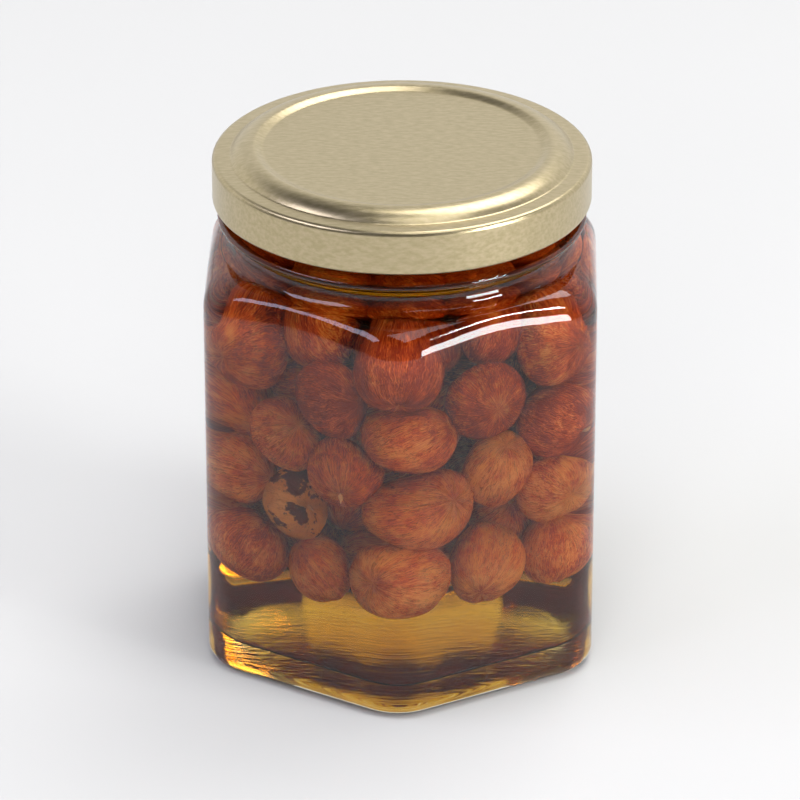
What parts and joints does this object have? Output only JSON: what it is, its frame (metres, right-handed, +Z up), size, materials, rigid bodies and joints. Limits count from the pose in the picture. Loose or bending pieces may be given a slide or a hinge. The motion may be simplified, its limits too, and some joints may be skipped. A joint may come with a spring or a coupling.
{
  "type": "honey jar",
  "caption": "Six-sided glass jar filled with honey, with rounded upright corners, a short round neck with a transfer bead, and a pressed metal twist-off lid.",
  "frame": {"origin": "centre of the base, on the surface the jar stands on", "axes": "+Z up along the jar's axis, -Y towards one upright corner of the body, +X towards the middle of a flat face"},
  "size_m": [0.068, 0.0754, 0.093],
  "materials": {
    "glass": "clear flint glass, fire polished",
    "honey": "clear amber honey",
    "lid": "pale gold lacquer on rolled tinplate, satin"
  },
  "bodies": {
    "root": {"glass_jar": "glass", "honey": "honey", "lid": "lid"}
  },
  "joints": []
}
